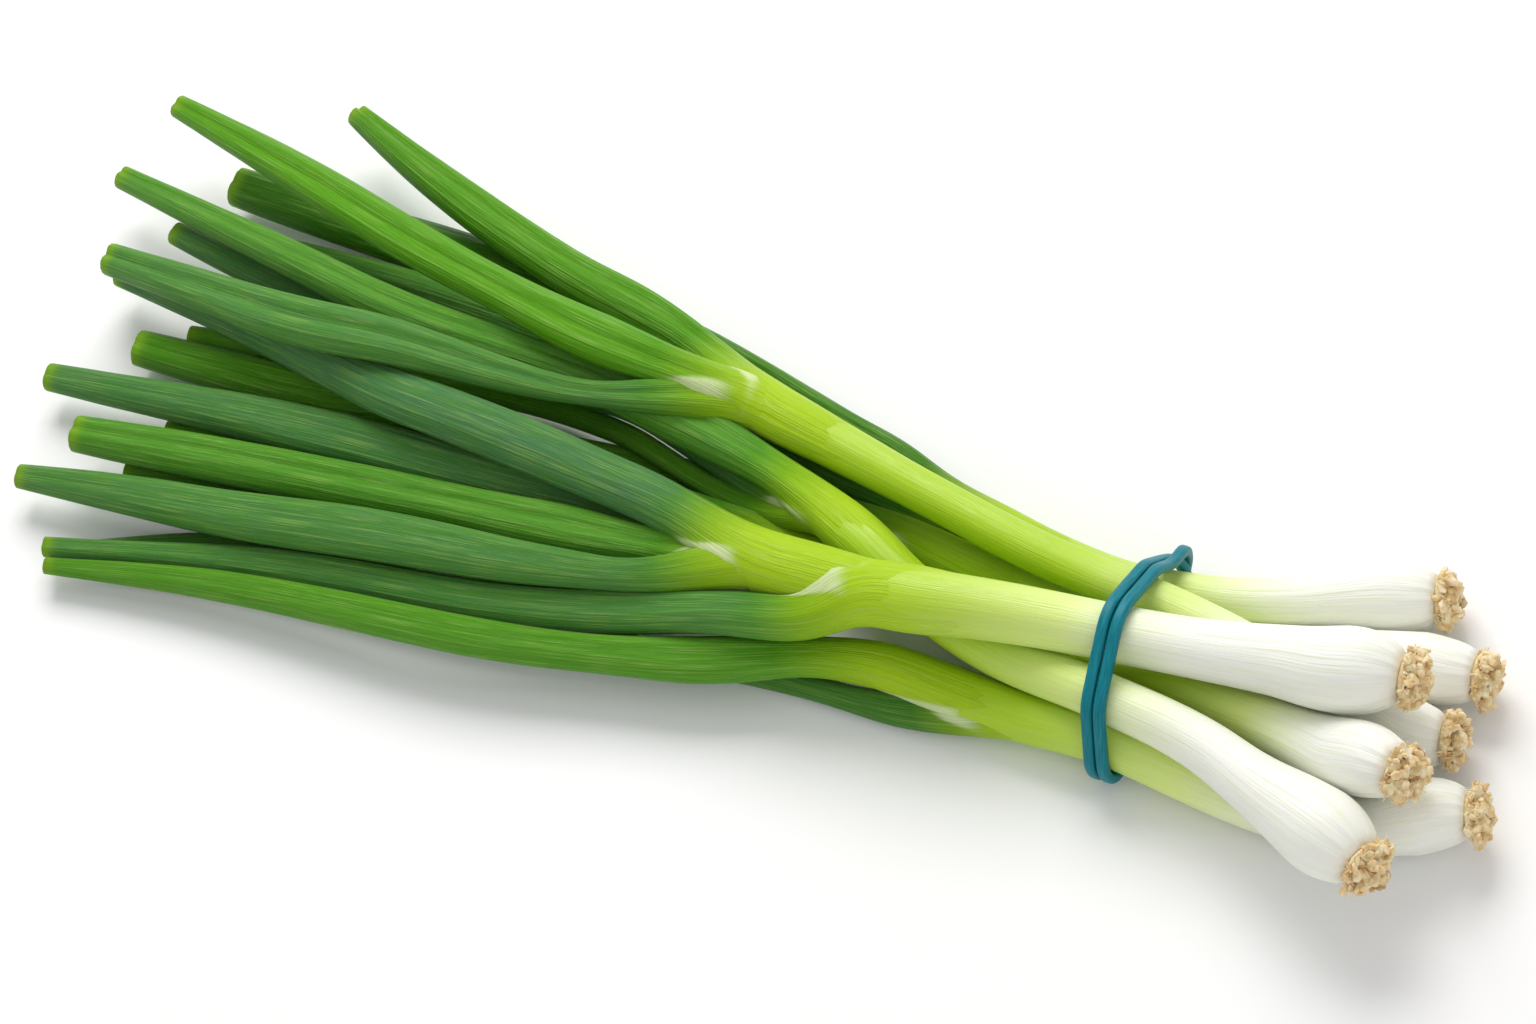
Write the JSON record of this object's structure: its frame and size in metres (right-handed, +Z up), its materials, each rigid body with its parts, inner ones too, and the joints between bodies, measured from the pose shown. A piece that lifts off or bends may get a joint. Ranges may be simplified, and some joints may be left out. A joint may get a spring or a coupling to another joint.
{
  "type": "spring onion bunch",
  "caption": "Bunch of spring onions with white bulbs, trimmed roots and square-cut green leaves, held by a doubled elastic band and lying on its side.",
  "frame": {"origin": "on the surface that the bunch lies on, under the middle of its outline", "axes": "+X along the bunch from the leaf tips towards the bulbs, +Y across it, +Z up"},
  "size_m": [0.3922, 0.1434, 0.0385],
  "materials": {
    "onion_stem": "smooth, moist, pale green fading to a glossy white bulb",
    "onion_leaf": "waxy green with fine lengthwise veins",
    "onion_roots": "dry, matt, trimmed root stubs",
    "elastic_band": "smooth satin teal rubber"
  },
  "bodies": {
    "root": {"elastic_band": "elastic_band", "onion_1_leaf_1": "onion_leaf", "onion_1_leaf_2": "onion_leaf", "onion_1_roots": "onion_roots", "onion_1_stem": "onion_stem", "onion_2_leaf_1": "onion_leaf", "onion_2_leaf_2": "onion_leaf", "onion_2_roots": "onion_roots", "onion_2_stem": "onion_stem", "onion_3_leaf_1": "onion_leaf", "onion_3_leaf_2": "onion_leaf", "onion_3_leaf_3": "onion_leaf", "onion_3_leaf_4": "onion_leaf", "onion_3_roots": "onion_roots", "onion_3_stem": "onion_stem", "onion_4_leaf_1": "onion_leaf", "onion_4_leaf_2": "onion_leaf", "onion_4_leaf_3": "onion_leaf", "onion_4_roots": "onion_roots", "onion_4_stem": "onion_stem", "onion_5_leaf_1": "onion_leaf", "onion_5_leaf_2": "onion_leaf", "onion_5_roots": "onion_roots", "onion_5_stem": "onion_stem", "onion_6_leaf_1": "onion_leaf", "onion_6_leaf_2": "onion_leaf", "onion_6_roots": "onion_roots", "onion_6_stem": "onion_stem", "onion_7_leaf_1": "onion_leaf", "onion_7_leaf_2": "onion_leaf", "onion_7_leaf_3": "onion_leaf", "onion_7_roots": "onion_roots", "onion_7_stem": "onion_stem"}
  },
  "joints": []
}
